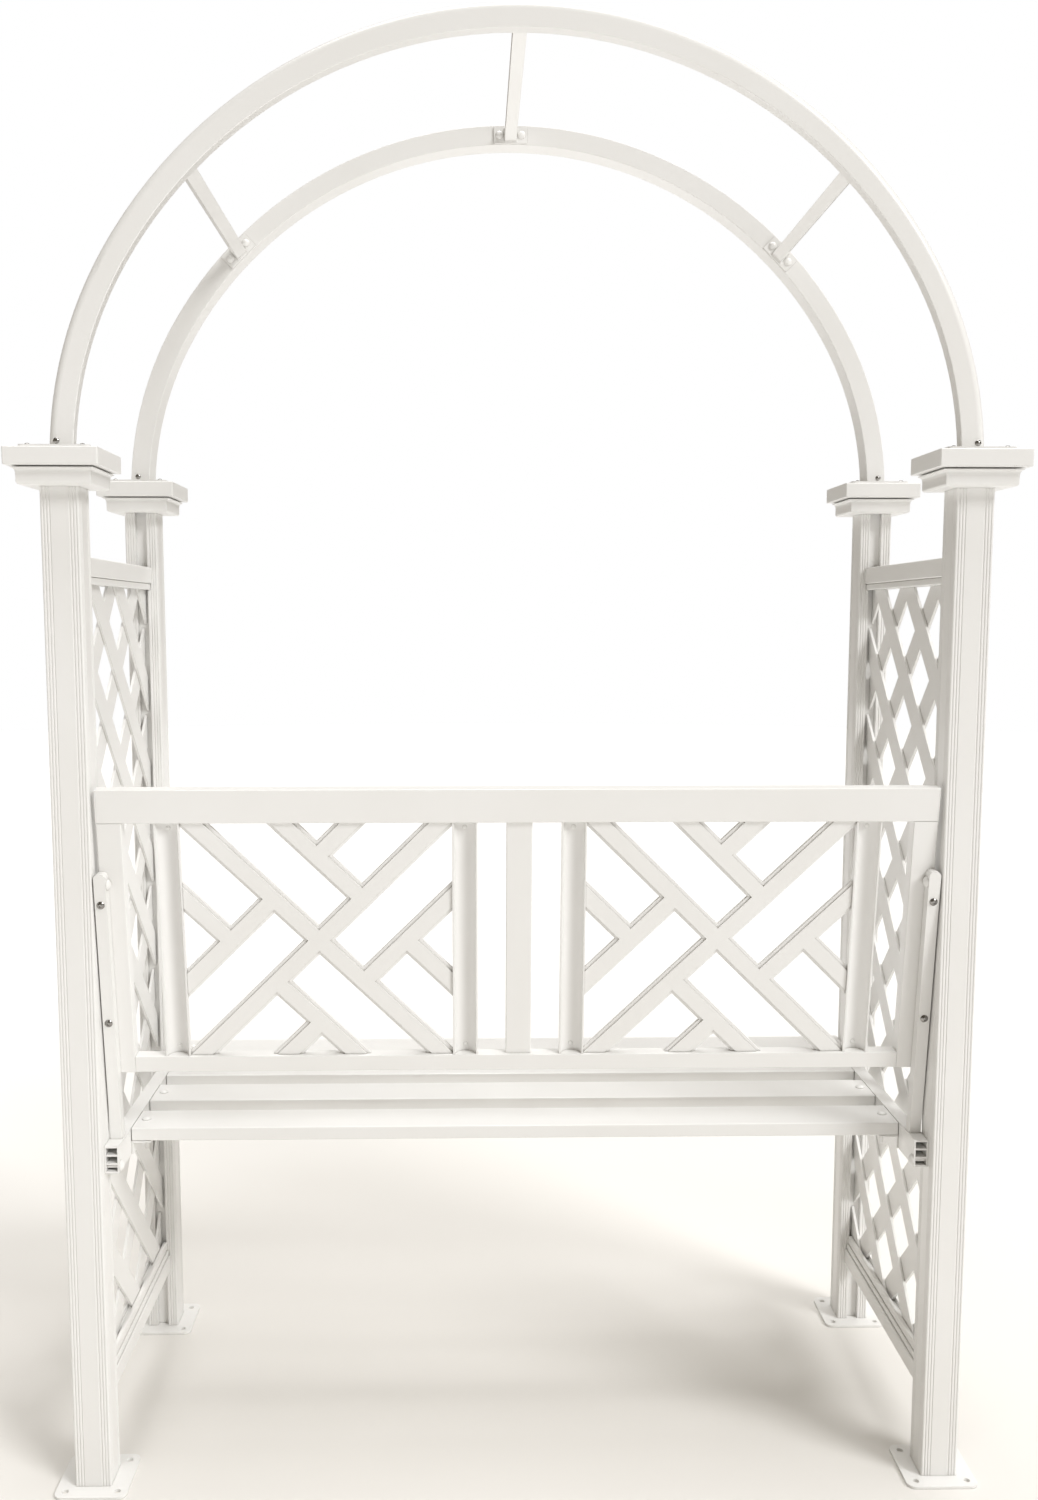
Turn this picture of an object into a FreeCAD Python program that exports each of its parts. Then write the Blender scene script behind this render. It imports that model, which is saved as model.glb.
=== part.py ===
import FreeCAD, Part
import math
import os

# Garden arch: four reeded posts, two bent arches, lattice sides and a bench
# between them.  Millimetres.  +Z is up, the ground is Z = 0, the origin is the
# middle of the footprint, and a person on the bench faces +Y.

os.makedirs("parts", exist_ok=True)
V = FreeCAD.Vector

# ---- overall layout ----
leg_pitch_x = 1188.0          # post centre to post centre, left to right
leg_pitch_y = 442.0           # post centre to post centre, back to front
cap_top_z = 1424.0            # top of the cap slabs
seat_top_z = 489.0            # top of the slats and of the side beams
fit_gap = 0.4                 # clearance of a part that slides into another
sit_gap = 0.2                 # clearance of a part that is laid beside another

# ---- posts ----
post_side = 50.0
post_wall = 2.5
post_corner_r = 2.0
groove_width = 18.0           # groove that takes the lattice
groove_depth = 9.0
reed_count = 3                # fine reeds beside each edge of each face
reed_pitch = 4.0
reed_r = 1.3
reed_depth = 0.7

# ---- base plates ----
base_side = 100.0
base_thick = 4.0
base_corner_r = 12.0
base_hole_pitch = 72.0
base_hole_d = 9.0
spigot_wall = 3.0
base_spigot_h = 70.0

# ---- post caps ----
slab_side = 120.0
slab_thick = 23.0
slab_edge = 1.2
cap_spigot_h = 35.0
moulding_side = 95.0
moulding_body_h = 14.0
moulding_r = 4.0
cove_side = 104.0             # the moulding flares out to this below the slab
cove_h = 6.5
cove_lip_h = 1.2
pad_side = 88.0               # raised middle that bears on the slab
pad_h = 1.8

# ---- arches ----
arch_width = 28.0             # tube size front to back
arch_outer = 15.5             # outer side of the tube from its centre line
arch_inner = 13.5             # underside from the centre line, at the inward face
arch_inner_slope = 4.0        # how much deeper the underside is at the outward face
arch_wall = 2.0
arch_soft_r = 11.0            # rounding of the outer corner of the outward face
arch_sharp_r = 1.2            # rounding of the other three corners
crown_over = 14.0             # crown's radius, more than the legs' distance from the middle
shoulder_under = 80.0         # shoulders' radius, less than that distance
rise_under = 54.0             # crown's height above the cap tops, less than that distance
foot_side = 90.0
foot_thick = 4.0
foot_corner_r = 5.0
foot_screw_pitch = 70.0
foot_screw_d = 4.0
leg_screw_out = 4.0           # cross screw from the leg's centre line, outwards
leg_screw_up = 8.0            # and above the foot plate

# ---- crossbars between the arches ----
crossbar_side = 18.0
crossbar_wall = 2.0
crossbar_angle = 45.0         # side bars, from the top of the arch
crossbar_plate_long = 52.0
crossbar_plate_high = 25.0
crossbar_plate_thick = 3.0
crossbar_bolt_pitch = 35.0
crossbar_bolt_d = 6.0

# ---- lattice sides ----
top_rail_drop = 169.0         # cap tops to the top rail's underside
top_bead_h = 10.0
top_bead_width = 26.0
top_body_h = 26.0
rail_width = 30.0
rail_edge_r = 2.0
bottom_rail_z = 104.0         # underside of the bottom rail
bottom_body_h = 26.0
bottom_step_h = 9.0
bottom_step_width = 25.0
bottom_bead_h = 14.0
bottom_bead_width = 20.0
strip_width = 37.0
strip_thick = 4.0
strip_pitch = 100.0           # between centre lines, square to the strips
strip_node_y = 92.0           # one crossing of the lattice, front to back
strip_node_drop = 58.0        # and its distance below the top rail
rail_slot_depth = 7.0
shortest_strip = 30.0         # corner scraps shorter than this are left off

# ---- seat ----
beam_width = 20.0
beam_height = 38.0
beam_wall = 2.4
beam_cells = 3
beam_back_out = 7.0           # beam's rear end past the rear posts' centres
beam_front_out = 37.0         # beam's front end past the front posts' centres
slat_count = 4
slat_width = 72.0
slat_thick = 19.0
slat_wall = 2.0
slat_web_pitch = 24.0
slat_edge_r = 2.0
slat_back_in = 62.0           # first slat's back edge before the rear posts' centres
slat_front_out = 34.0         # last slat's front edge past the front posts' centres
slat_end_gap = 1.0
angle_leg = 28.0
angle_thick = 2.5
nut_gap = 1.0                 # nut to the head of the beam's bolt
slat_bolt_d = 6.0
slat_bolt_head_d = 13.0
nut_across = 10.0
nut_high = 6.0
slat_bolt_past = 14.0         # bolt below its nut
washer_d = 12.5
washer_thick = 1.2
dome_d = 15.0
dome_high = 5.5
dome_shank_d = 6.0
dome_gap = 0.5                # dome head to the angle's flat leg
insert_d = 9.0
insert_bulge_d = 12.0
insert_bulge_long = 4.0
insert_long = 15.0
insert_edge_gap = 1.16        # insert to the inside of the post's rear wall
rivet_d = 4.0
rivet_head_d = 8.0
rivet_head_high = 1.6

# ---- backrest ----
back_tilt = 7.0               # degrees
back_rise = 494.0             # upper rear edge above the seat
back_height = 403.0
back_gap = 6.0                # backrest to post, each side
back_depth = 20.0
back_wall = 2.0
back_edge_r = 1.5
top_bar_h = 46.0
bottom_bar_h = 23.0
stile_width = 33.0
channel_width = 34.0
channel_depth = 16.0
channel_wall = 2.2
channel_inset = 42.0          # outer channels from the stiles
inner_channel_x = 73.5        # centre of the two inner channels
centre_slat_width = 35.0
centre_slat_thick = 9.0
fret_bar = 29.0
fret_bar_thick = 5.0
fret_raise = 21.0             # raised middle of each fret bar
fret_raise_thick = 10.0
fret_pitch = 84.5             # bar to bar, square to the bars
plug_lip = 2.0
plug_long = 12.0

# ---- bars that hold the backrest ----
brace_side = 16.0
brace_wall = 2.0
brace_gap = 2.0               # brace to post
brace_top_drop = 112.0        # brace top below the backrest's top, along it
brace_top_r = 6.0
brace_bolt_drop = 16.0        # dome bolt below the brace's top
brace_screw_drops = (42.0, 211.0)
pan_d = 10.5
pan_high = 3.2
pan_shank_d = 4.5
pan_recess_d = 4.2
pan_recess_depth = 1.4
screw_bite = 5.0              # screw past the wall that it holds

# ---- worked out from the sizes above ----
half_post = post_side / 2
side_x = leg_pitch_x / 2
end_y = leg_pitch_y / 2
inner_face_x = side_x - half_post
slab_bottom_z = cap_top_z - slab_thick
moulding_z = slab_bottom_z - pad_h - cove_lip_h - cove_h - moulding_body_h
foot_top_z = cap_top_z + foot_thick
arch_r = side_x + crown_over
shoulder_r = side_x - shoulder_under
arch_z = cap_top_z + side_x - rise_under - arch_r     # centre of the crown's arc
foot_far = math.hypot(side_x, foot_top_z - arch_z)
centre_step = arch_r - shoulder_r
foot_along = (foot_far ** 2 + centre_step ** 2 - shoulder_r ** 2) / (2 * centre_step)
join_angle = math.atan2(side_x, foot_top_z - arch_z) - math.acos(foot_along / foot_far)
shoulder_x = centre_step * math.sin(join_angle)
shoulder_z = arch_z + centre_step * math.cos(join_angle)
foot_angle = math.atan2(side_x - shoulder_x, foot_top_z - shoulder_z)
rail_run = leg_pitch_y - post_side
lattice_low_z = bottom_rail_z + bottom_body_h + bottom_step_h + bottom_bead_h
panel_tuck = rail_slot_depth - 1.0
top_rail_z = cap_top_z - top_rail_drop
strip_node_z = top_rail_z - strip_node_drop
beam_inner_x = inner_face_x - beam_width
beam_bottom_z = seat_top_z - beam_height
slat_bottom_z = seat_top_z - slat_thick
angle_bottom_z = slat_bottom_z - angle_thick
beam_bolt_z = angle_bottom_z - dome_gap - dome_d / 2
beam_back_y = -end_y - beam_back_out
beam_front_y = end_y + beam_front_out
slat_back_y = -end_y + slat_back_in
slat_front_y = end_y + slat_front_out
slat_pitch = (slat_front_y - slat_back_y - slat_width) / (slat_count - 1)
slat_half = beam_inner_x - slat_end_gap
slat_bolt_x = beam_inner_x - angle_thick - dome_high - nut_gap - nut_across / 2
back_half = inner_face_x - back_gap
stile_inner_x = back_half - stile_width
outer_channel_x = stile_inner_x - channel_inset - channel_width / 2
brace_x = inner_face_x - brace_gap - brace_side / 2
tilt = math.radians(back_tilt)
back_top_z = seat_top_z + back_rise
brace_bolt_n = -brace_side / 2                      # the bolt's depth and height in the
brace_bolt_s = -brace_top_drop - brace_bolt_drop    # backrest's own leaned plane
brace_bolt_y = -end_y - half_post + post_wall + insert_bulge_d / 2 + insert_edge_gap
back_top_y = brace_bolt_y - brace_bolt_n * math.cos(tilt) + brace_bolt_s * math.sin(tilt)
brace_bolt_z = back_top_z + brace_bolt_n * math.sin(tilt) + brace_bolt_s * math.cos(tilt)
back_mid_n = back_depth / 2
field_top = -top_bar_h
field_bottom = bottom_bar_h - back_height

corners = {
    "rear_left": (-1, -1),
    "rear_right": (1, -1),
    "front_left": (-1, 1),
    "front_right": (1, 1),
}
sides = {"left": -1, "right": 1}


# ---- general helpers ----
def box(x0, x1, y0, y1, z0, z1):
    return Part.makeBox(x1 - x0, y1 - y0, z1 - z0, V(x0, y0, z0))


def block(cx, cy, z0, sx, sy, sz):
    return box(cx - sx / 2, cx + sx / 2, cy - sy / 2, cy + sy / 2, z0, z0 + sz)


def edges_along(shape, direction):
    found = []
    for edge in shape.Edges:
        if not isinstance(edge.Curve, Part.Line):
            continue
        run = edge.Vertexes[1].Point - edge.Vertexes[0].Point
        if abs(run.normalize().dot(direction)) > 0.999:
            found.append(edge)
    return found


def outline(corner_list):
    """Closed wire through (x, y, radius) corners, in the XY plane."""
    count = len(corner_list)
    stops = []
    for i, (x, y, r) in enumerate(corner_list):
        here = V(x, y, 0)
        back = V(corner_list[i - 1][0], corner_list[i - 1][1], 0) - here
        ahead = V(corner_list[(i + 1) % count][0], corner_list[(i + 1) % count][1], 0) - here
        back.normalize()
        ahead.normalize()
        if r <= 0:
            stops.append((here, None, here))
            continue
        half = back.getAngle(ahead) / 2
        reach = r / math.tan(half)
        middle = (back + ahead).normalize()
        crown = here + middle * (r / math.sin(half) - r)
        stops.append((here + back * reach, crown, here + ahead * reach))
    edges = []
    for i, (start, crown, end) in enumerate(stops):
        if crown is not None:
            edges.append(Part.Arc(start, crown, end).toShape())
        following = stops[(i + 1) % count][0]
        if (following - end).Length > 1e-6:
            edges.append(Part.makeLine(end, following))
    return Part.Wire(edges)


def rectangle(cx, cy, sx, sy, r=0.0):
    x0, x1 = cx - sx / 2, cx + sx / 2
    y0, y1 = cy - sy / 2, cy + sy / 2
    return outline([(x0, y0, r), (x1, y0, r), (x1, y1, r), (x0, y1, r)])


def raised(wire, z0, height):
    solid = Part.Face(wire).extrude(V(0, 0, height))
    return solid.translated(V(0, 0, z0))


def tube(cx, cy, sx, sy, wall, z0, height, r=0.0):
    skin = raised(rectangle(cx, cy, sx, sy, r), z0, height)
    return skin.cut(block(cx, cy, z0, sx - 2 * wall, sy - 2 * wall, height))


def rod(start, axis, diameter, length):
    return Part.makeCylinder(diameter / 2, length, start, axis)


def turned(shape, centre, axis, degrees):
    moved = shape.copy()
    moved.rotate(centre, axis, degrees)
    return moved


def along_y(shape):
    """Stands a shape built up along Z so that it runs along +Y, with its X kept."""
    moved = turned(shape, V(0, 0, 0), V(1, 0, 0), -90)
    return moved


def along_x(shape):
    """Lays a shape built up along Z along +X: its X becomes Y and its Y becomes Z."""
    moved = turned(shape, V(0, 0, 0), V(0, 0, 1), 90)
    return turned(moved, V(0, 0, 0), V(0, 1, 0), 90)


def mirrored(shape, side):
    if side > 0:
        return shape
    return shape.mirror(V(0, 0, 0), V(1, 0, 0))


def save(node, shapes):
    if isinstance(shapes, list):
        shape = shapes[0] if len(shapes) == 1 else Part.makeCompound(shapes)
    else:
        shape = shapes
    shape.exportStep("parts/" + node + ".step")


def domed_bolt(seat, inward, head_d, head_high, shank_d, reach):
    """Bolt whose head stands on seat, with its shank going along inward."""
    head_r, shank_r = head_d / 2, shank_d / 2
    rim = 0.25 * head_high
    rise = head_high - rim
    dome_r = (head_r * head_r + rise * rise) / (2 * rise)
    half = math.asin(head_r / dome_r) / 2
    crown = V(dome_r * math.sin(half), 0, head_high - dome_r + dome_r * math.cos(half))
    lower = [V(0, 0, head_high), V(0, 0, -reach), V(shank_r, 0, -reach), V(shank_r, 0, 0),
             V(head_r, 0, 0), V(head_r, 0, rim)]
    edges = [Part.makeLine(start, end) for start, end in zip(lower, lower[1:])]
    edges.append(Part.Arc(lower[-1], crown, lower[0]).toShape())
    bolt = Part.Face(Part.Wire(edges)).revolve(V(0, 0, 0), V(0, 0, 1), 360)
    bolt.Placement = FreeCAD.Placement(seat, FreeCAD.Rotation(V(0, 0, 1), inward * -1))
    return bolt


def pan_screw(seat, inward, reach):
    """Pan-head screw with a square driver recess."""
    screw = domed_bolt(seat, inward, pan_d, pan_high, pan_shank_d, reach)
    recess = rod(seat - inward * (pan_high + 0.1), inward, pan_recess_d, pan_recess_depth + 0.1)
    return screw.cut(recess)


def hexagon_prism(centre, across, height):
    """Upright hexagon with two of its flats facing along X."""
    r = across / math.sqrt(3)
    points = []
    for k in range(6):
        angle = math.radians(60 * k + 30)
        points.append(V(r * math.cos(angle), r * math.sin(angle), 0))
    face = Part.Face(Part.makePolygon(points + [points[0]]))
    return face.extrude(V(0, 0, height)).translated(centre)


# ---- posts, base plates and caps ----
def post_section(face_sign):
    """Post outline with reeds and its lattice groove, which opens towards face_sign on Y."""
    section = Part.Face(rectangle(0, 0, post_side, post_side, post_corner_r))
    cuts = []
    for turn in range(4):
        for edge_sign in (-1, 1):
            for k in range(reed_count):
                x = edge_sign * (half_post - reed_pitch * (k + 1))
                circle = Part.makeCircle(reed_r, V(x, half_post + reed_r - reed_depth, 0))
                reed = Part.Face(Part.Wire(circle))
                cuts.append(turned(reed, V(0, 0, 0), V(0, 0, 1), 90 * turn))
    room = post_side - 2 * post_wall
    cavity = Part.Face(rectangle(0, 0, room, room))
    keep_depth = groove_depth + post_wall
    keep = Part.Face(rectangle(0, face_sign * (half_post - keep_depth / 2),
                               groove_width + 2 * post_wall, keep_depth))
    cuts.append(cavity.cut(keep))
    cuts.append(Part.Face(rectangle(0, face_sign * (half_post - groove_depth / 2 + 1),
                                    groove_width, groove_depth + 2)))
    for piece in cuts:
        section = section.cut(piece)
    return section


def post(side, end):
    height = slab_bottom_z - base_thick
    shape = post_section(-end).extrude(V(0, 0, height))
    shape = shape.translated(V(side * side_x, end * end_y, base_thick))
    start_x = side * (inner_face_x - 5)
    holes = [(end * end_y, beam_bolt_z)]
    if end < 0:
        holes.append((brace_bolt_y, brace_bolt_z))
    for y, z in holes:
        shape = shape.cut(rod(V(start_x, y, z), V(side, 0, 0), insert_d, 5 + 2 * post_wall))
    return shape.Solids[0]


def spigot(cx, cy, end, z0, height):
    """Square tube that fills the post's hollow beside the lattice groove."""
    width = post_side - 2 * post_wall - 2 * fit_gap
    near = -half_post + post_wall + fit_gap
    far = half_post - groove_depth - post_wall - fit_gap
    middle = -end * (near + far) / 2
    return tube(cx, cy + middle, width, far - near, spigot_wall, z0, height)


def base_plate(side, end):
    cx, cy = side * side_x, end * end_y
    plate = raised(rectangle(cx, cy, base_side, base_side, base_corner_r), 0, base_thick)
    for i in (-1, 1):
        for j in (-1, 1):
            centre = V(cx + i * base_hole_pitch / 2, cy + j * base_hole_pitch / 2, -1)
            plate = plate.cut(rod(centre, V(0, 0, 1), base_hole_d, base_thick + 2))
    return plate.fuse(spigot(cx, cy, end, base_thick, base_spigot_h)).removeSplitter()


def cap_slab(side, end):
    cx, cy = side * side_x, end * end_y
    slab = block(cx, cy, slab_bottom_z, slab_side, slab_side, slab_thick)
    slab = slab.makeChamfer(slab_edge, slab.Edges)
    for i in (-1, 1):
        for j in (-1, 1):
            x = cx + i * foot_screw_pitch / 2
            y = cy + j * foot_screw_pitch / 2
            slab = slab.cut(rod(V(x, y, cap_top_z), V(0, 0, -1), foot_screw_d, 12))
    inside = spigot(cx, cy, end, slab_bottom_z - cap_spigot_h, cap_spigot_h)
    return slab.fuse(inside).removeSplitter()


def cap_moulding(side, end):
    cx, cy = side * side_x, end * end_y
    body = block(cx, cy, moulding_z, moulding_side, moulding_side, moulding_body_h)
    rims = [e for e in body.Edges if e.BoundBox.ZMax < moulding_z + 0.01]
    body = body.makeFillet(moulding_r, rims)
    levels = []
    for share in (0.0, 0.5, 0.85, 1.0):
        flare = (cove_side - moulding_side) * (1 - math.sqrt(1 - share ** 2))
        wire = rectangle(cx, cy, moulding_side + flare, moulding_side + flare)
        levels.append(wire.translated(V(0, 0, moulding_z + moulding_body_h + share * cove_h)))
    cove = Part.makeLoft(levels, True, True)
    lip_z = moulding_z + moulding_body_h + cove_h
    lip = block(cx, cy, lip_z, cove_side, cove_side, cove_lip_h)
    pad = block(cx, cy, lip_z + cove_lip_h, pad_side, pad_side, pad_h)
    shape = body.fuse(cove).fuse(lip).fuse(pad).removeSplitter()
    return shape.cut(block(cx, cy, moulding_z - 1, post_side + 2 * sit_gap,
                           post_side + 2 * sit_gap, slab_bottom_z - moulding_z + 2))


for name, (side, end) in corners.items():
    save("post_" + name, post(side, end))
    save("base_plate_" + name, base_plate(side, end))
    save("cap_slab_" + name, cap_slab(side, end))
    save("cap_moulding_" + name, cap_moulding(side, end))


# ---- arches ----
def arch_profile(wall, end):
    """Tube section at the top of the arch; its flat inward face is towards the other arch."""
    half = arch_width / 2 - wall
    high = arch_outer - wall
    low = wall - arch_inner
    soft = arch_soft_r - wall
    sharp = max(arch_sharp_r - wall, 0.4)
    wire = outline([(-half, low - arch_inner_slope, sharp), (half, low, sharp),
                    (half, high, sharp), (-half, high, soft)])
    face = Part.Face(wire)
    if end > 0:
        face = turned(face, V(0, 0, 0), V(0, 1, 0), 180)
    face = turned(face, V(0, 0, 0), V(1, 1, 1), 120)
    return face.translated(V(0, end * end_y, arch_z + arch_r))


def bent(profile):
    """Sweeps a section at the top of the arch along the crown and both shoulders."""
    centre = V(0, 0, arch_z)
    across = V(0, 1, 0)
    join = math.degrees(join_angle)
    start = turned(profile, centre, across, -join)
    crown = start.revolve(centre, across, 2 * join)
    joint = turned(profile, centre, across, join)
    past_foot = 4.0
    shoulder = joint.revolve(V(shoulder_x, 0, shoulder_z), across,
                             math.degrees(foot_angle) - join + past_foot)
    return crown.fuse(shoulder).fuse(mirrored(shoulder, -1))


def arch(end):
    shape = bent(arch_profile(0, end)).cut(bent(arch_profile(arch_wall, end)))
    wide = leg_pitch_x + 200
    shape = shape.cut(block(0, end * end_y, foot_top_z - 400, wide, 100, 400))
    for degrees in (-crossbar_angle, 0, crossbar_angle):
        for k in (-1, 1):
            hole = rod(V(k * crossbar_bolt_pitch / 2, end * (end_y - arch_width / 2 - 1),
                         arch_z + arch_r), V(0, end, 0), crossbar_bolt_d, arch_wall + 2)
            shape = shape.cut(turned(hole, V(0, 0, arch_z), V(0, 1, 0), degrees))
    for side in (-1, 1):
        hole = rod(V(side * (side_x + leg_screw_out), end * end_y - arch_width,
                     foot_top_z + leg_screw_up), V(0, 1, 0), foot_screw_d, 2 * arch_width)
        shape = shape.cut(hole)
    return shape.Solids[0]


save("arch_rear", arch(-1))
save("arch_front", arch(1))


def foot_parts():
    plates = []
    screws = []
    for side, end in corners.values():
        cx, cy = side * side_x, end * end_y
        plate = raised(rectangle(cx, cy, foot_side, foot_side, foot_corner_r), cap_top_z, foot_thick)
        for i in (-1, 1):
            for j in (-1, 1):
                x = cx + i * foot_screw_pitch / 2
                y = cy + j * foot_screw_pitch / 2
                plate = plate.cut(rod(V(x, y, cap_top_z), V(0, 0, 1), foot_screw_d, foot_thick))
                screws.append(domed_bolt(V(x, y, foot_top_z), V(0, 0, -1), 2 * foot_screw_d,
                                         0.6 * foot_screw_d, foot_screw_d - 0.2, 13))
        plates.append(plate)
        x = cx + side * leg_screw_out
        z = foot_top_z + leg_screw_up
        halves = [domed_bolt(V(x, cy + k * arch_width / 2, z), V(0, -k, 0), 2 * foot_screw_d,
                             0.6 * foot_screw_d, foot_screw_d - 0.2, arch_width / 2)
                  for k in (-1, 1)]
        screws.append(halves[0].fuse(halves[1]).removeSplitter())
    return plates, screws


foot_plates, foot_screws = foot_parts()
save("arch_foot_plates", foot_plates)
save("arch_foot_screws", foot_screws)


# ---- crossbars ----
def crossbar(degrees):
    reach = leg_pitch_y - arch_width
    z = arch_z + arch_r
    bar = tube(0, 0, crossbar_side, crossbar_side, crossbar_wall, 0, reach)
    bar = along_y(bar).translated(V(0, -reach / 2, z))
    for end in (-1, 1):
        y = end * (reach - crossbar_plate_thick) / 2
        plate = raised(rectangle(0, 0, crossbar_plate_long, crossbar_plate_high, 2.0),
                       -crossbar_plate_thick / 2, crossbar_plate_thick)
        for k in (-1, 1):
            plate = plate.cut(rod(V(k * crossbar_bolt_pitch / 2, 0, -10), V(0, 0, 1),
                                  crossbar_bolt_d, 20))
        plate = along_y(plate).translated(V(0, y, z))
        bar = bar.fuse(plate)
    return turned(bar.removeSplitter(), V(0, 0, arch_z), V(0, 1, 0), degrees)


def crossbar_bolts():
    bolts = []
    for degrees in (-crossbar_angle, 0, crossbar_angle):
        for end in (-1, 1):
            for k in (-1, 1):
                y = end * (end_y - arch_width / 2 - crossbar_plate_thick)
                seat = V(k * crossbar_bolt_pitch / 2, y, arch_z + arch_r)
                bolt = domed_bolt(seat, V(0, end, 0), 2 * crossbar_bolt_d, 0.7 * crossbar_bolt_d,
                                  crossbar_bolt_d - 0.2, arch_wall + crossbar_plate_thick + 6)
                bolts.append(turned(bolt, V(0, 0, arch_z), V(0, 1, 0), degrees))
    return bolts


save("crossbar_left", crossbar(-crossbar_angle))
save("crossbar_top", crossbar(0))
save("crossbar_right", crossbar(crossbar_angle))
save("crossbar_bolts", crossbar_bolts())


# ---- lattice sides ----
def rail(levels, slot_at_top):
    """Moulded rail from (width, height) levels, lowest first, with a slot for the strips."""
    z = 0.0
    shape = None
    for width, height in levels:
        layer = raised(rectangle(0, z + height / 2, width, height, rail_edge_r), 0, rail_run)
        joint = raised(rectangle(0, z + height / 2, width - 2 * rail_edge_r, height), 0, rail_run)
        layer = layer.fuse(joint)
        shape = layer if shape is None else shape.fuse(layer)
        z += height
    slot_width = 2 * strip_thick + 2 * fit_gap
    slot_y = z - rail_slot_depth / 2 if slot_at_top else rail_slot_depth / 2
    shape = shape.cut(raised(rectangle(0, slot_y, slot_width, rail_slot_depth), -1, rail_run + 2))
    shape = turned(shape.removeSplitter(), V(0, 0, 0), V(1, 0, 0), 90)
    return shape.translated(V(0, rail_run / 2, 0))


def strips(rise):
    """One layer of strips, clipped to the panel; rise is 1 or -1 along +Y."""
    half_run = rail_run / 2 + groove_depth - 1.0
    low = lattice_low_z - panel_tuck
    high = top_rail_z + panel_tuck
    frame = box(0, strip_thick, -half_run, half_run, low, high)
    reach = 2 * (high - low)
    found = []
    count = int(reach / strip_pitch)
    for k in range(-count, count + 1):
        strip = box(0, strip_thick, -reach, reach, -strip_width / 2, strip_width / 2)
        strip = strip.translated(V(0, 0, k * strip_pitch))
        strip = turned(strip, V(0, 0, 0), V(1, 0, 0), rise * 45)
        strip = strip.translated(V(0, strip_node_y, strip_node_z)).common(frame)
        if strip.Solids and strip.BoundBox.ZLength > shortest_strip:
            found.append(strip.Solids[0])
    return found


top_levels = [(top_bead_width, top_bead_h), (rail_width, top_body_h)]
bottom_levels = [(rail_width, bottom_body_h), (bottom_step_width, bottom_step_h),
                 (bottom_bead_width, bottom_bead_h)]
for name, side in sides.items():
    middle = V(side * side_x, 0, 0)
    top = rail(top_levels, False).translated(middle + V(0, 0, top_rail_z))
    bottom = rail(bottom_levels, True).translated(middle + V(0, 0, bottom_rail_z))
    save("lattice_top_rail_" + name, top)
    save("lattice_bottom_rail_" + name, bottom)
    rising = [s.translated(middle - V(strip_thick, 0, 0)) for s in strips(1)]
    falling = [s.translated(middle) for s in strips(-1)]
    save("lattice_rising_strips_" + name, rising)
    save("lattice_falling_strips_" + name, falling)


# ---- seat ----
def seat_beam():
    """Right-hand beam: a tube of stacked cells, with the holes of its two bolts."""
    length = beam_front_y - beam_back_y
    x = inner_face_x - beam_width / 2
    beam = box(x - beam_width / 2, x + beam_width / 2, beam_back_y, beam_front_y,
               beam_bottom_z, seat_top_z)
    cell_h = (beam_height - beam_wall * (beam_cells + 1)) / beam_cells
    for k in range(beam_cells):
        z0 = beam_bottom_z + beam_wall + k * (cell_h + beam_wall)
        cell = block(x, beam_back_y + length / 2, z0, beam_width - 2 * beam_wall, length + 2, cell_h)
        beam = beam.cut(cell)
    for end in (-1, 1):
        axis_start = V(beam_inner_x - 1, end * end_y, beam_bolt_z)
        beam = beam.cut(rod(axis_start, V(1, 0, 0), dome_shank_d + sit_gap, beam_width + 2))
    for y in rivet_places():
        beam = beam.cut(rod(V(beam_inner_x - 1, y, rivet_z), V(1, 0, 0), rivet_d, beam_wall + 2))
    return beam


def slat_centres():
    return [slat_back_y + slat_width / 2 + k * slat_pitch for k in range(slat_count)]


def rivet_places():
    centres = slat_centres()
    return [(a + b) / 2 for a, b in zip(centres, centres[1:])]


rivet_z = (beam_bottom_z + angle_bottom_z) / 2


def slat_angle():
    """Right-hand angle under the slat ends."""
    wall_leg = box(beam_inner_x - angle_thick, beam_inner_x, slat_back_y, slat_front_y,
                   beam_bottom_z, slat_bottom_z)
    flat_leg = box(beam_inner_x - angle_leg, beam_inner_x, slat_back_y, slat_front_y,
                   angle_bottom_z, slat_bottom_z)
    angle = wall_leg.fuse(flat_leg).removeSplitter()
    for y in slat_centres():
        hole = rod(V(slat_bolt_x, y, angle_bottom_z - 1), V(0, 0, 1),
                   slat_bolt_d + sit_gap, angle_thick + 2)
        angle = angle.cut(hole)
    for y in rivet_places():
        hole = rod(V(beam_inner_x - angle_thick - 1, y, rivet_z), V(1, 0, 0), rivet_d, angle_thick + 2)
        angle = angle.cut(hole)
    bolt_hole = rod(V(beam_inner_x - angle_thick - 1, end_y, beam_bolt_z), V(1, 0, 0),
                    dome_shank_d + sit_gap, angle_thick + 2)
    return angle.cut(bolt_hole)


def slat(centre_y):
    profile = Part.Face(rectangle(0, 0, slat_width, slat_thick, slat_edge_r))
    solid = profile.extrude(V(0, 0, 2 * slat_half))
    inside = slat_thick - 2 * slat_wall
    middle_w = slat_web_pitch - slat_wall
    outer_w = (slat_width - slat_web_pitch - 3 * slat_wall) / 2
    for x, width in ((0, middle_w), (1, outer_w), (-1, outer_w)):
        cx = x * (slat_web_pitch / 2 + slat_wall / 2 + outer_w / 2)
        solid = solid.cut(raised(rectangle(cx, 0, width, inside), -1, 2 * slat_half + 2))
    solid = along_x(solid)
    solid = solid.translated(V(-slat_half, centre_y, seat_top_z - slat_thick / 2))
    for side in (-1, 1):
        hole = rod(V(side * slat_bolt_x, centre_y, slat_bottom_z - 1), V(0, 0, 1),
                   slat_bolt_d + sit_gap, slat_thick + 2)
        solid = solid.cut(hole)
    return solid


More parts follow.
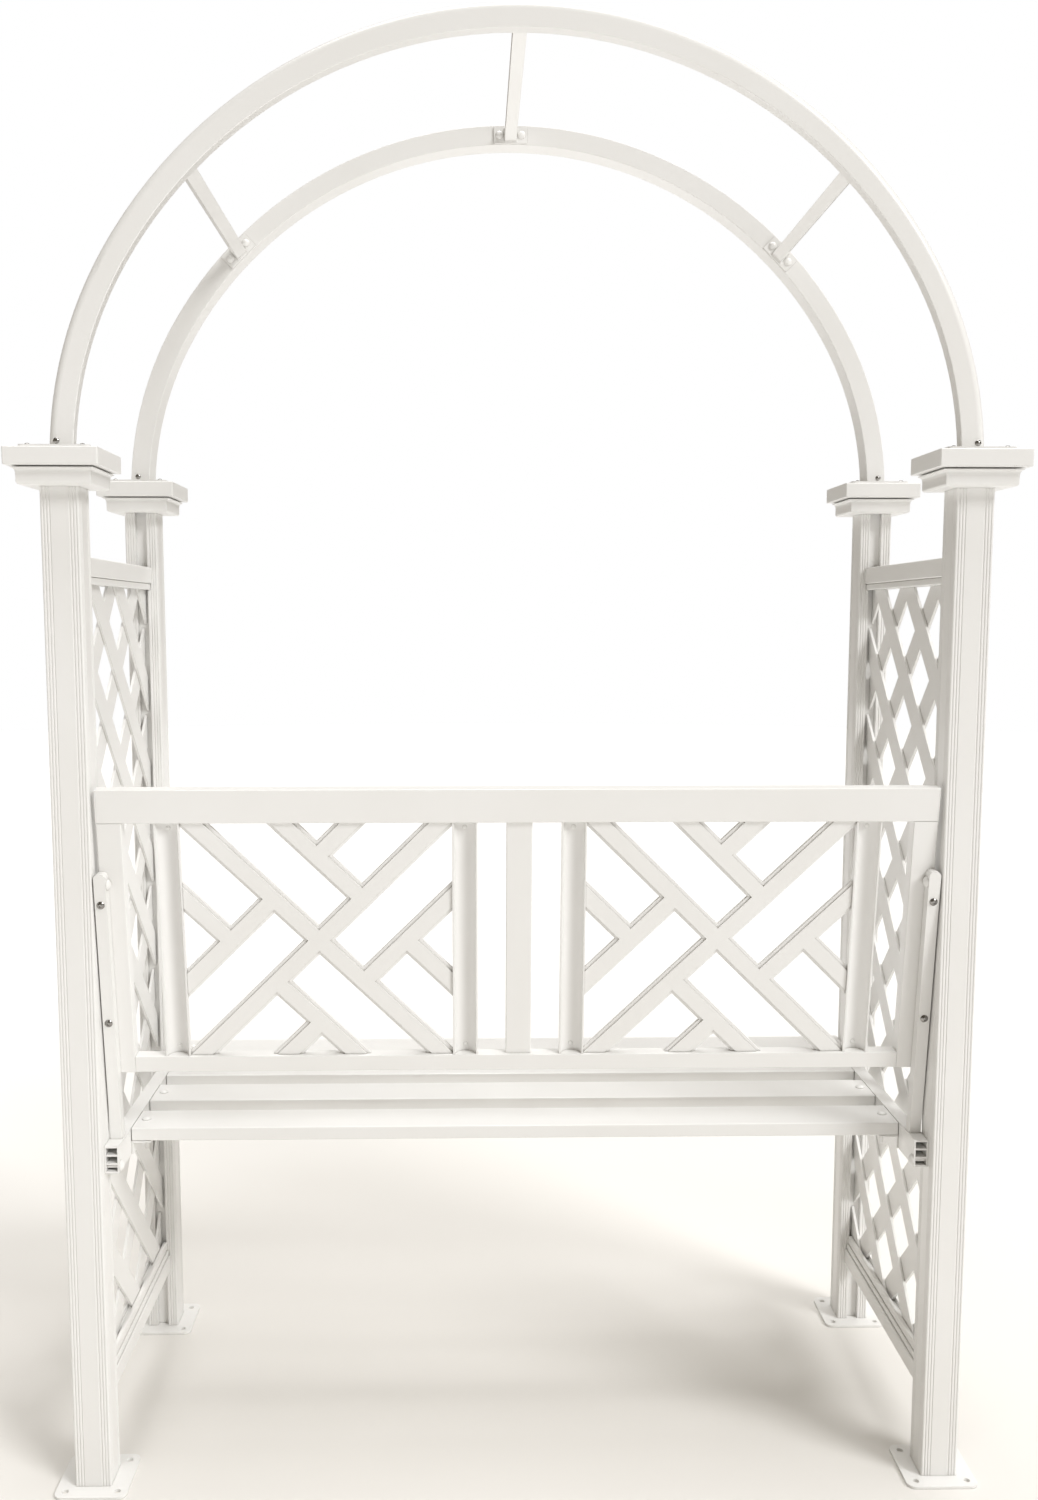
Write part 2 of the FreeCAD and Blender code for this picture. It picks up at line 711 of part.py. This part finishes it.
for name, side in sides.items():
    save("seat_beam_" + name, mirrored(seat_beam(), side))
    save("slat_angle_" + name, mirrored(slat_angle(), side))
for k, y in enumerate(slat_centres()):
    save("seat_slat_%d" % (k + 1), slat(y))


def slat_fasteners():
    bolts = []
    nuts = []
    washers = []
    for y in slat_centres():
        for side in (-1, 1):
            x = side * slat_bolt_x
            under = slat_thick + angle_thick
            reach = under + washer_thick + nut_high + slat_bolt_past
            bolts.append(domed_bolt(V(x, y, seat_top_z), V(0, 0, -1), slat_bolt_head_d, 4.0,
                                    slat_bolt_d, reach))
            z = angle_bottom_z - washer_thick
            bore = rod(V(x, y, z - nut_high), V(0, 0, 1), slat_bolt_d + sit_gap, 20)
            washers.append(rod(V(x, y, z), V(0, 0, 1), washer_d, washer_thick).cut(bore))
            nuts.append(hexagon_prism(V(x, y, z - nut_high), nut_across, nut_high).cut(bore))
    return bolts, washers, nuts


slat_bolts, slat_washers, slat_nuts = slat_fasteners()
save("slat_bolts", slat_bolts)
save("slat_nuts_and_washers", slat_nuts + slat_washers)


def side_fasteners():
    """Dome bolts of the beams and braces, their inserts in the posts, and the angle rivets."""
    bolts = []
    inserts = []
    rivets = []
    for side in (-1, 1):
        out = V(side, 0, 0)
        for end in (-1, 1):
            seat_x = beam_inner_x - (angle_thick if end > 0 else 0)
            seat = V(side * seat_x, end * end_y, beam_bolt_z)
            reach = inner_face_x + insert_long - 1 - seat_x
            bolts.append(domed_bolt(seat, out, dome_d, dome_high, dome_shank_d, reach))
        seat_x = brace_x - brace_side / 2
        seat = V(side * seat_x, brace_bolt_y, brace_bolt_z)
        reach = inner_face_x + insert_long - 1 - seat_x
        bolts.append(domed_bolt(seat, out, dome_d, dome_high, dome_shank_d, reach))
        places = [(-end_y, beam_bolt_z), (end_y, beam_bolt_z), (brace_bolt_y, brace_bolt_z)]
        for y, z in places:
            start = V(side * inner_face_x, y, z)
            body = rod(start, out, insert_d, insert_long)
            bulge = rod(start + out * post_wall, out, insert_bulge_d, insert_bulge_long)
            bore = rod(start - out, out, dome_shank_d + sit_gap, insert_long + 2)
            inserts.append(body.fuse(bulge).cut(bore).removeSplitter())
        for y in rivet_places():
            seat = V(side * (beam_inner_x - angle_thick), y, rivet_z)
            rivets.append(domed_bolt(seat, out, rivet_head_d, rivet_head_high, rivet_d - sit_gap,
                                     angle_thick + beam_wall + 2))
    return bolts, inserts, rivets


dome_bolts, inserts, rivets = side_fasteners()
save("dome_bolts", dome_bolts)
save("post_inserts", inserts)
save("angle_rivets", rivets)


# ---- backrest, built upright on X (width), Y (depth) and Z (height), then leaned ----
def leaned(shape):
    moved = turned(shape, V(0, 0, 0), V(1, 0, 0), back_tilt)
    return moved.translated(V(0, back_top_y, back_top_z))


def flat_tube_x(x0, x1, z0, z1):
    """Rectangular tube of the backrest's depth, running along X."""
    shape = box(x0, x1, 0, back_depth, z0, z1)
    shape = shape.makeFillet(back_edge_r, edges_along(shape, V(1, 0, 0)))
    return shape.cut(box(x0 - 1, x1 + 1, back_wall, back_depth - back_wall,
                         z0 + back_wall, z1 - back_wall))


def flat_tube_z(x0, x1, z0, z1):
    shape = box(x0, x1, 0, back_depth, z0, z1)
    shape = shape.makeFillet(back_edge_r, edges_along(shape, V(0, 0, 1)))
    return shape.cut(box(x0 + back_wall, x1 - back_wall, back_wall, back_depth - back_wall,
                         z0 - 1, z1 + 1))


def rail_plug():
    """Right-hand plug of the top rail: a lip flush with the rail and a tongue inside it."""
    lip = box(back_half - plug_lip, back_half, 0, back_depth, -top_bar_h, 0)
    lip = lip.makeFillet(back_edge_r, edges_along(lip, V(1, 0, 0)))
    inner = back_wall + fit_gap
    tongue = box(back_half - plug_lip - plug_long, back_half - plug_lip, inner, back_depth - inner,
                 -top_bar_h + inner, -inner)
    return lip.fuse(tongue).removeSplitter()


def channel(centre_x):
    """Round-bottomed trough, open towards the back of the bench."""
    y0 = back_mid_n - channel_depth / 2
    y1 = y0 + channel_depth
    z0, z1 = field_bottom, field_top
    half = channel_width / 2
    skin = box(-half, half, y0, y1, z0, z1)
    back_edges = [e for e in edges_along(skin, V(0, 0, 1)) if e.CenterOfMass.y > back_mid_n]
    skin = skin.makeFillet(channel_depth * 0.6, back_edges)
    room = half - channel_wall
    trough = Part.makeCylinder(room, z1 - z0 + 2, V(0, 0, z0 - 1))
    flatten = FreeCAD.Matrix()
    flatten.scale(V(1, (channel_depth - channel_wall) / room, 1))
    trough = trough.transformGeometry(flatten)
    trough = trough.translated(V(0, y0, 0))
    return skin.cut(trough).translated(V(centre_x, 0, 0))


def fret_bars(width, thick):
    """Interlocking diagonal bars of one fret panel about its centre, in X and Z."""
    far = 600.0
    step = fret_pitch
    runs = [(0, -far, far), (step, -far, 0), (step, step, far), (-step, 0, far), (-step, -far, -step)]
    bars = []
    for offset, start, stop in runs:
        if abs(start) < far:
            start -= width / 2
        if abs(stop) < far:
            stop += width / 2
        bar = box(start, stop, -thick / 2, thick / 2, offset - width / 2, offset + width / 2)
        bars.append(turned(bar, V(0, 0, 0), V(0, 1, 0), 45))
    runs = [(0, -far, far), (step, 0, far), (step, -far, -step), (-step, -far, 0), (-step, step, far)]
    for offset, start, stop in runs:
        if abs(start) < far:
            start -= width / 2
        if abs(stop) < far:
            stop += width / 2
        bar = box(offset - width / 2, offset + width / 2, -thick / 2, thick / 2, start, stop)
        bars.append(turned(bar, V(0, 0, 0), V(0, 1, 0), 45))
    shape = bars[0].multiFuse(bars[1:])
    return shape


def fret_panel(side):
    inner = inner_channel_x + channel_width / 2
    outer = outer_channel_x - channel_width / 2
    x0, x1 = inner + sit_gap, outer - sit_gap
    z0, z1 = field_bottom + sit_gap, field_top - sit_gap
    centre = V(side * (x0 + x1) / 2, back_mid_n, (z0 + z1) / 2)
    panel = fret_bars(fret_bar, fret_bar_thick).fuse(fret_bars(fret_raise, fret_raise_thick))
    panel = panel.translated(centre)
    lo, hi = sorted((side * x0, side * x1))
    window = box(lo, hi, 0, back_depth, z0, z1)
    return panel.common(window).removeSplitter()


save("back_top_rail", leaned(flat_tube_x(-back_half + plug_lip, back_half - plug_lip, -top_bar_h, 0)))
save("back_rail_plugs", [leaned(mirrored(rail_plug(), side)) for side in (-1, 1)])
save("back_bottom_rail", leaned(flat_tube_x(-stile_inner_x, stile_inner_x, -back_height, field_bottom)))
for name, side in sides.items():
    stile = flat_tube_z(stile_inner_x, back_half, -back_height, -top_bar_h)
    for drop in brace_screw_drops:
        hole = rod(V(brace_x, -1, -brace_top_drop - drop), V(0, 1, 0), pan_shank_d,
                   back_wall + screw_bite + 1)
        stile = stile.cut(hole)
    save("back_stile_" + name, leaned(mirrored(stile, side)))
    save("fret_panel_" + name, leaned(fret_panel(side)))
channel_places = {
    "back_channel_outer_left": -outer_channel_x,
    "back_channel_inner_left": -inner_channel_x,
    "back_channel_inner_right": inner_channel_x,
    "back_channel_outer_right": outer_channel_x,
}
for name, x in channel_places.items():
    save(name, leaned(channel(x)))
half_slat = centre_slat_width / 2
centre_slat = box(-half_slat, half_slat, back_mid_n - centre_slat_thick / 2,
                  back_mid_n + centre_slat_thick / 2, field_bottom, field_top)
centre_slat = centre_slat.makeFillet(1.5, edges_along(centre_slat, V(0, 0, 1)))
save("back_centre_slat", leaned(centre_slat))


# ---- braces that hold the backrest to the posts and beams ----
def brace():
    """Right-hand brace: a square tube along the back of the stile, down to the beam."""
    lower = (seat_top_z - back_top_z) / math.cos(tilt) - 2 * brace_side
    z1 = -brace_top_drop
    x0, x1 = brace_x - brace_side / 2, brace_x + brace_side / 2
    shape = box(x0, x1, -brace_side, 0, lower, z1)
    top_edges = [e for e in edges_along(shape, V(0, 1, 0)) if e.CenterOfMass.z > z1 - 1]
    shape = shape.makeFillet(brace_top_r, top_edges)
    shape = shape.cut(box(x0 + brace_wall, x1 - brace_wall, -brace_side + brace_wall, -brace_wall,
                          lower - 1, z1 - brace_top_r))
    for drop in brace_screw_drops:
        hole = rod(V(brace_x, -brace_side - 1, z1 - drop), V(0, 1, 0), pan_shank_d + sit_gap,
                   brace_side + 2)
        shape = shape.cut(hole)
    shape = leaned(shape)
    shape = shape.cut(box(x0 - 1, x1 + 1, -400, 400, seat_top_z - 4 * brace_side, seat_top_z))
    bolt = rod(V(x0 - 1, brace_bolt_y, brace_bolt_z), V(1, 0, 0), dome_shank_d + sit_gap, brace_side + 2)
    return shape.cut(bolt)


def brace_screws():
    screws = []
    for side in (-1, 1):
        for drop in brace_screw_drops:
            seat = V(side * brace_x, -brace_side, -brace_top_drop - drop)
            screws.append(leaned(pan_screw(seat, V(0, 1, 0), brace_side + back_wall + screw_bite)))
    return screws


for name, side in sides.items():
    save("back_brace_" + name, mirrored(brace(), side))
save("brace_screws", brace_screws())
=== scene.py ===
import math

import bmesh
import bpy
from mathutils import Matrix, Vector


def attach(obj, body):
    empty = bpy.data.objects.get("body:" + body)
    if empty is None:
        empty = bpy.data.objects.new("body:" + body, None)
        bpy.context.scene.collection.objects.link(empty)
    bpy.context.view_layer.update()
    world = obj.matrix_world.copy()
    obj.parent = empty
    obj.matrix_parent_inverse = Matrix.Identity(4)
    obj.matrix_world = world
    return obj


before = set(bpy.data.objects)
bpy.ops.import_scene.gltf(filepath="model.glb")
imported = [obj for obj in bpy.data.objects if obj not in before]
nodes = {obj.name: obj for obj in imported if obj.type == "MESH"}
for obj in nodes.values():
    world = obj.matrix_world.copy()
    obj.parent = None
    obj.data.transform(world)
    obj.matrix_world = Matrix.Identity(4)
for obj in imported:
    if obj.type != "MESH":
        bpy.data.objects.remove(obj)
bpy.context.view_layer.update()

# White garden arch with a bench: the frame is the CAD model, this gives it its finishes,
# its weld beads and smallest screws, and the studio round it. Metres.

print("frame loaded:", len(nodes), "nodes")


# small helpers for shader trees
def newMaterial(name):
    mat = bpy.data.materials.new(name)
    mat.use_nodes = True
    tree = mat.node_tree
    tree.nodes.clear()
    out = tree.nodes.new("ShaderNodeOutputMaterial")
    shader = tree.nodes.new("ShaderNodeBsdfPrincipled")
    tree.links.new(shader.outputs["BSDF"], out.inputs["Surface"])
    return mat, tree, shader


def node(tree, kind, values=None, links=None):
    n = tree.nodes.new("ShaderNode" + kind)
    for key, value in (values or {}).items():
        if isinstance(key, int) or key in n.inputs:
            n.inputs[key].default_value = value
        else:
            setattr(n, key, value)
    for key, socket in (links or {}).items():
        tree.links.new(socket, n.inputs[key])
    return n


def objectSpace(tree, stretch=(1, 1, 1)):
    coord = node(tree, "TexCoord")
    mapping = node(tree, "Mapping", {"Scale": stretch}, {"Vector": coord.outputs["Object"]})
    return mapping.outputs["Vector"]


def noise(tree, vector, scale, detail=2.0, rough=0.5):
    n = node(tree, "TexNoise", {"Scale": scale, "Detail": detail, "Roughness": rough}, {"Vector": vector})
    return n.outputs["Fac"]


def spread(tree, fac, lowest, highest, fromLow=0.0, fromHigh=1.0):
    ends = {"From Min": fromLow, "From Max": fromHigh, "To Min": lowest, "To Max": highest}
    return node(tree, "MapRange", ends, {"Value": fac}).outputs["Result"]


def blendColours(tree, fac, first, second):
    n = node(tree, "Mix", {"data_type": "RGBA"})
    for socket, value in ((n.inputs[6], first), (n.inputs[7], second)):
        if hasattr(value, "links"):
            tree.links.new(value, socket)
        else:
            socket.default_value = (*value, 1.0)
    tree.links.new(fac, n.inputs[0])
    return n.outputs[2]


def maths(tree, operation, first, second):
    n = node(tree, "Math", {"operation": operation})
    for socket, value in ((n.inputs[0], first), (n.inputs[1], second)):
        if hasattr(value, "links"):
            tree.links.new(value, socket)
        else:
            socket.default_value = value
    return n.outputs[0]


def bump(tree, height, distance, strength, under=None):
    n = node(tree, "Bump", {"Distance": distance, "Strength": strength}, {"Height": height})
    if under is not None:
        tree.links.new(under, n.inputs["Normal"])
    return n.outputs["Normal"]


# powder coat, one recipe for all the painted metal
def powderCoat(name, look):
    mat, tree, shader = newMaterial(name)
    plain = objectSpace(tree)
    drawn = objectSpace(tree, look["along"])
    cloud = noise(tree, plain, look["cloudScale"], 3.0)                # slow change of film thickness
    grain = noise(tree, plain, look["grainScale"], 2.0, 0.6)           # single powder grains
    peel = noise(tree, plain, look["peelScale"], 1.0, 0.4)             # orange peel
    lines = noise(tree, drawn, look["lineScale"], 2.0, 0.55)           # die lines under the coat
    colour = blendColours(tree, spread(tree, cloud, 0, 1, 0.32, 0.68), look["thick"], look["thin"])
    speck = spread(tree, grain, 0, look["speck"], 0.62, 0.8)
    colour = blendColours(tree, speck, colour, look["speckTone"])
    # painted shade: the coat colour is darkened towards a shade tone where surfaces crowd together
    nook = node(tree, "AmbientOcclusion", {"samples": 6, "Distance": look["nookReach"]})
    paintedShade = spread(tree, nook.outputs["AO"], look["nookPaintedShade"], 0.0, 0.25, 0.8)   # painted shade in the joints and creases, where ambient occlusion finds nearby surfaces
    colour = blendColours(tree, paintedShade, colour, look["nookShadeTone"])
    tree.links.new(colour, shader.inputs["Base Color"])
    roughest, smoothest = look["rough"] + look["roughSwing"], look["rough"] - look["roughSwing"]
    gloss = spread(tree, cloud, smoothest, roughest, 0.3, 0.7)
    gloss = maths(tree, "ADD", gloss, spread(tree, lines, -look["lineGloss"], look["lineGloss"], 0.3, 0.7))
    tree.links.new(gloss, shader.inputs["Roughness"])
    softEdge = node(tree, "Bevel", {"samples": 4, "Radius": look["edge"]})      # the coat rounds sharp edges
    normal = bump(tree, lines, look["lineDepth"], 0.6, softEdge.outputs["Normal"])
    normal = bump(tree, peel, look["peelDepth"], 0.6, normal)
    normal = bump(tree, grain, look["grainDepth"], 0.5, normal)
    tree.links.new(normal, shader.inputs["Normal"])
    shader.inputs["IOR"].default_value = look["ior"]
    shader.inputs["Coat Weight"].default_value = look["coat"]
    shader.inputs["Coat Roughness"].default_value = look["coatRough"]
    return mat


coat = {
    "thick": (0.875, 0.872, 0.86),     # full film
    "thin": (0.85, 0.845, 0.828),      # where the powder is thinner
    "speckTone": (0.70, 0.69, 0.66),
    "speck": 0.10,
    "rough": 0.36,
    "roughSwing": 0.03,
    "coat": 0.10,
    "coatRough": 0.12,
    "ior": 1.5,
    "cloudScale": 5.0,
    "grainScale": 2600.0,
    "peelScale": 520.0,
    "lineScale": 900.0,
    "lineGloss": 0.02,
    "along": (1, 1, 0.01),
    "lineDepth": 0.00002,
    "peelDepth": 0.00006,
    "grainDepth": 0.00001,
    "edge": 0.0007,
    # painted shade in joints and creases: how far ambient occlusion looks, how strongly it darkens the coat,
    # and the shade tone
    "nookReach": 0.0035,
    "nookPaintedShade": 0.7,
    "nookShadeTone": (0.36, 0.34, 0.30),
}
plainCoat = dict(coat, along=(1, 1, 1), lineDepth=0.0, lineGloss=0.0)      # over metal without die lines
coats = {
    "upright": dict(coat, nookPaintedShade=0.4),
    "across": dict(coat, along=(0.01, 1, 1)),
    "fore_aft": dict(coat, along=(1, 0.01, 1)),
    "casting": dict(plainCoat, peelScale=380.0, peelDepth=0.0001, rough=0.38),
    "strip": dict(plainCoat, peelScale=460.0, rough=0.4),
    "fret": dict(plainCoat, peelScale=420.0, rough=0.34),
    "tube": dict(plainCoat, rough=0.33, edge=0.0, speck=0.05, peelDepth=0.00003, grainDepth=0.0),
    "bolt": dict(plainCoat, peelScale=900.0, rough=0.3, coat=0.2),
}
finish = {name: powderCoat("powder_coat_" + name, look) for name, look in coats.items()}
print("finishes made:", len(finish))


# plastic plugs and plain steel
def mouldedPlastic(name, look):
    mat, tree, shader = newMaterial(name)
    plain = objectSpace(tree)
    cloud = noise(tree, plain, look["cloudScale"], 2.0)
    texture = noise(tree, plain, look["textureScale"], 3.0, 0.65)
    tree.links.new(blendColours(tree, cloud, look["light"], look["shade"]), shader.inputs["Base Color"])
    roughest, smoothest = look["rough"] + look["roughSwing"], look["rough"] - look["roughSwing"]
    gloss = spread(tree, texture, smoothest, roughest)
    tree.links.new(gloss, shader.inputs["Roughness"])
    tree.links.new(bump(tree, texture, look["textureDepth"], 0.5), shader.inputs["Normal"])
    shader.inputs["Subsurface Weight"].default_value = look["softness"]
    shader.inputs["Subsurface Scale"].default_value = look["softReach"]
    return mat


def brushedSteel(name, look):
    mat, tree, shader = newMaterial(name)
    turnMarks = noise(tree, objectSpace(tree, look["along"]), look["markScale"], 3.0, 0.6)
    cloud = noise(tree, objectSpace(tree), look["cloudScale"], 3.0)
    tree.links.new(blendColours(tree, cloud, look["bright"], look["dull"]), shader.inputs["Base Color"])
    gloss = spread(tree, turnMarks, look["roughFrom"], look["roughTo"])
    tree.links.new(gloss, shader.inputs["Roughness"])
    tree.links.new(bump(tree, turnMarks, look["markDepth"], 0.5), shader.inputs["Normal"])
    shader.inputs["Metallic"].default_value = 1.0
    return mat


plugLook = {
    "light": (0.84, 0.838, 0.825),
    "shade": (0.80, 0.797, 0.78),
    "cloudScale": 14.0,
    "rough": 0.45,
    "roughSwing": 0.06,
    "textureScale": 1500.0,
    "textureDepth": 0.00005,
    "softness": 0.05,                  # light let into the plastic
    "softReach": 0.001,
}
steelLook = {
    "bright": (0.40, 0.39, 0.375),
    "dull": (0.24, 0.232, 0.22),
    "cloudScale": 160.0,
    "roughFrom": 0.17,
    "roughTo": 0.34,
    "markScale": 2500.0,
    "markDepth": 0.00002,
    "along": (1, 0.05, 1),
}
finish["plug"] = mouldedPlastic("moulded_plug", plugLook)
finish["steel"] = brushedSteel("stainless_steel", steelLook)

# Which finish each CAD node wears: the start of its name, longest match wins
wears = {
    "post_": "upright",
    "base_plate_": "casting",
    "cap_": "casting",
    "arch_front": "tube",
    "arch_rear": "tube",
    "arch_foot_plates": "casting",
    "arch_foot_screws": "steel",
    "crossbar_": "fore_aft",
    "crossbar_bolts": "bolt",
    "lattice_top_rail": "fore_aft",
    "lattice_bottom_rail": "fore_aft",
    "lattice_rising": "strip",
    "lattice_falling": "strip",
    "seat_beam": "fore_aft",
    "slat_angle": "fore_aft",
    "seat_slat": "across",
    "slat_bolts": "bolt",
    "slat_nuts_and_washers": "steel",
    "dome_bolts": "bolt",
    "post_inserts": "steel",
    "angle_rivets": "steel",
    "back_top_rail": "across",
    "back_bottom_rail": "across",
    "back_rail_plugs": "plug",
    "back_stile": "upright",
    "back_channel": "upright",
    "back_centre_slat": "upright",
    "back_brace": "upright",
    "fret_panel": "fret",
    "brace_screws": "steel",
}
for name, obj in nodes.items():
    starts = [key for key in wears if name.startswith(key)]
    worn = finish[wears[max(starts, key=len)]]
    for materialSlot in obj.material_slots:
        materialSlot.material = worn
print("finishes on", len(nodes), "nodes")


# weld beads, each a row of overlapping drops
welds = {
    "drop": 0.0016,                    # radius of one drop
    "dropSides": 8,
    "dropRings": 5,
    "step": 0.0021,                    # drop to drop
    "barSide": 0.018,                  # crossbar tube
    "crown": (1.356, 0.608),           # height of the crown arc's centre, and its radius
    "barEnd": 0.204,                   # crossbar plates' inner faces from the middle
    "barAngles": (-45, 0, 45),
    "footPlace": (0.595, 0.221, 1.428),
    "footSize": (0.029, 0.028),
}


def newPiece(name, mesh, worn):
    data = bpy.data.meshes.new(name)
    for face in mesh.faces:
        face.smooth = True
    mesh.to_mesh(data)
    mesh.free()
    piece = bpy.data.objects.new(name, data)
    piece.data.materials.append(finish[worn])
    bpy.context.scene.collection.objects.link(piece)
    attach(piece, "root")


def layBead(mesh, size, place):
    halfX, halfY = size[0] / 2, size[1] / 2
    loop = [(-halfX, -halfY), (halfX, -halfY), (halfX, halfY), (-halfX, halfY)]
    for i, (x0, y0) in enumerate(loop):
        x1, y1 = loop[(i + 1) % 4]
        count = round(math.hypot(x1 - x0, y1 - y0) / welds["step"])
        for k in range(count):
            share = k / count
            spot = Vector((x0 + (x1 - x0) * share, y0 + (y1 - y0) * share, 0))
            bmesh.ops.create_uvsphere(mesh, u_segments=welds["dropSides"], v_segments=welds["dropRings"],
                                      radius=welds["drop"], matrix=place @ Matrix.Translation(spot))


barWelds = bmesh.new()
for degrees in welds["barAngles"]:
    middle = Matrix.Translation((0, 0, welds["crown"][0])) @ Matrix.Rotation(math.radians(degrees), 4, "Y")
    middle = middle @ Matrix.Translation((0, 0, welds["crown"][1]))
    for end in (-1, 1):
        facing = Matrix.Translation((0, end * welds["barEnd"], 0)) @ Matrix.Rotation(math.pi / 2, 4, "X")
        layBead(barWelds, (welds["barSide"], welds["barSide"]), middle @ facing)
newPiece("crossbar_welds", barWelds, "tube")

footWelds = bmesh.new()
for side in (-1, 1):
    for end in (-1, 1):
        x, y, z = welds["footPlace"]
        layBead(footWelds, welds["footSize"], Matrix.Translation((side * x, end * y, z)))
newPiece("arch_foot_welds", footWelds, "tube")
print("weld beads laid")


# small screws that hold the back's channels to its rails
channelScrews = {
    "headRadius": 0.0034,
    "headHigh": 0.0016,
    "headSides": 20,
    "x": (-0.471, -0.0735, 0.0735, 0.471),
    "drops": (0.056, 0.370),           # below the backrest's top, along it
    "depth": 0.0158,                   # trough's bottom behind the back's rear face
    "tilt": 7.0,
    "topEdge": (-0.2440, 0.983),       # y and z of the back's upper rear edge
}


def backPoint(x, depth, drop):
    lean = math.radians(channelScrews["tilt"])
    y, z = channelScrews["topEdge"]
    return Vector((x, y + depth * math.cos(lean) + drop * math.sin(lean),
                   z + depth * math.sin(lean) - drop * math.cos(lean)))


screwMesh = bmesh.new()
for x in channelScrews["x"]:
    for drop in channelScrews["drops"]:
        seat = Matrix.Translation(backPoint(x, channelScrews["depth"], drop))
        lie = Matrix.Rotation(math.radians(90 + channelScrews["tilt"]), 4, "X")
        squash = Matrix.Diagonal((1, 1, channelScrews["headHigh"] / channelScrews["headRadius"], 1))
        bmesh.ops.create_uvsphere(screwMesh, u_segments=channelScrews["headSides"],
                                  v_segments=channelScrews["headSides"] // 2,
                                  radius=channelScrews["headRadius"], matrix=seat @ lie @ squash)
newPiece("channel_screws", screwMesh, "bolt")
print("channel screws set")


# floor
floorSizes = {
    "radius": 14.0,
    "tone": (0.80, 0.782, 0.75),
    "shade": 0.985,                    # the darker patches, as a share of the tone
    "cloudScale": 1.5,
    "rough": 0.7,
    "farTone": (0.90, 0.90, 0.90),     # bright enough to meet the backdrop
    "fadeFrom": 0.9,
    "fadeTo": 2.8,
}
bpy.ops.mesh.primitive_circle_add(vertices=96, radius=floorSizes["radius"], fill_type="NGON")
floor = bpy.context.object
floor.name = "floor"
floorMat, floorTree, floorShader = newMaterial("studio_floor")
floorCloud = noise(floorTree, objectSpace(floorTree), floorSizes["cloudScale"], 2.0)
floorShade = tuple(floorSizes["shade"] * value for value in floorSizes["tone"])
floorTone = blendColours(floorTree, floorCloud, floorSizes["tone"], floorShade)
away = node(floorTree, "VectorMath", {"operation": "LENGTH"}, {0: objectSpace(floorTree)})
fade = spread(floorTree, away.outputs["Value"], 0, 1, floorSizes["fadeFrom"], floorSizes["fadeTo"])
floorTone = blendColours(floorTree, fade, floorTone, floorSizes["farTone"])
floorTree.links.new(floorTone, floorShader.inputs["Base Color"])
floorShader.inputs["Roughness"].default_value = floorSizes["rough"]
floor.data.materials.append(floorMat)


# light
lights = {
    "key": {"strength": 1.9, "soft": 22, "from": (0.64, -0.56, 0.62), "tone": (1.0, 1.0, 1.0)},
    "top": {"strength": 2.5, "soft": 50, "from": (0.05, 0.1, 1.0), "tone": (1.0, 1.0, 1.0)},
}
for lightName, values in lights.items():
    lamp = bpy.data.lights.new(lightName, "SUN")
    lamp.energy = values["strength"]
    lamp.angle = math.radians(values["soft"])
    lamp.color = values["tone"]
    holder = bpy.data.objects.new(lightName, lamp)
    holder.rotation_euler = Vector(values["from"]).to_track_quat("Z", "Y").to_euler()
    bpy.context.scene.collection.objects.link(holder)

roomLight = {
    "tone": (1.0, 0.87, 0.68),         # dim warm fill on the object
    "strength": 0.2,
    "backdrop": (1.0, 1.0, 1.0),       # what the camera sees behind it
}
room = bpy.data.worlds.new("studio")
room.use_nodes = True
bpy.context.scene.world = room
roomTree = room.node_tree
fill = roomTree.nodes["Background"]
fill.inputs["Color"].default_value = (*roomLight["tone"], 1.0)
fill.inputs["Strength"].default_value = roomLight["strength"]
paper = node(roomTree, "Background", {"Color": (*roomLight["backdrop"], 1.0), "Strength": 1.0})
rays = node(roomTree, "LightPath")
either = node(roomTree, "MixShader")
roomTree.links.new(rays.outputs["Is Camera Ray"], either.inputs[0])
roomTree.links.new(fill.outputs[0], either.inputs[1])
roomTree.links.new(paper.outputs[0], either.inputs[2])
roomTree.links.new(either.outputs[0], roomTree.nodes["World Output"].inputs["Surface"])
bpy.context.scene.view_settings.view_transform = "Standard"
print("studio lit")


# camera
view = {
    "place": (-0.0676, -2.0533, 1.2052),
    "yaw": 0.0205,                     # towards +X
    "pitch": 0.1121,                   # down
    "lens": 32.98,
    "shift": (0.0147, 0.0171),
}
cameraData = bpy.data.cameras.new("camera")
cameraData.lens = view["lens"]
cameraData.shift_x, cameraData.shift_y = view["shift"]
camera = bpy.data.objects.new("camera", cameraData)
camera.location = view["place"]
camera.rotation_euler = (math.pi / 2 - view["pitch"], 0, -view["yaw"])
bpy.context.scene.collection.objects.link(camera)
bpy.context.scene.camera = camera
print("camera set")
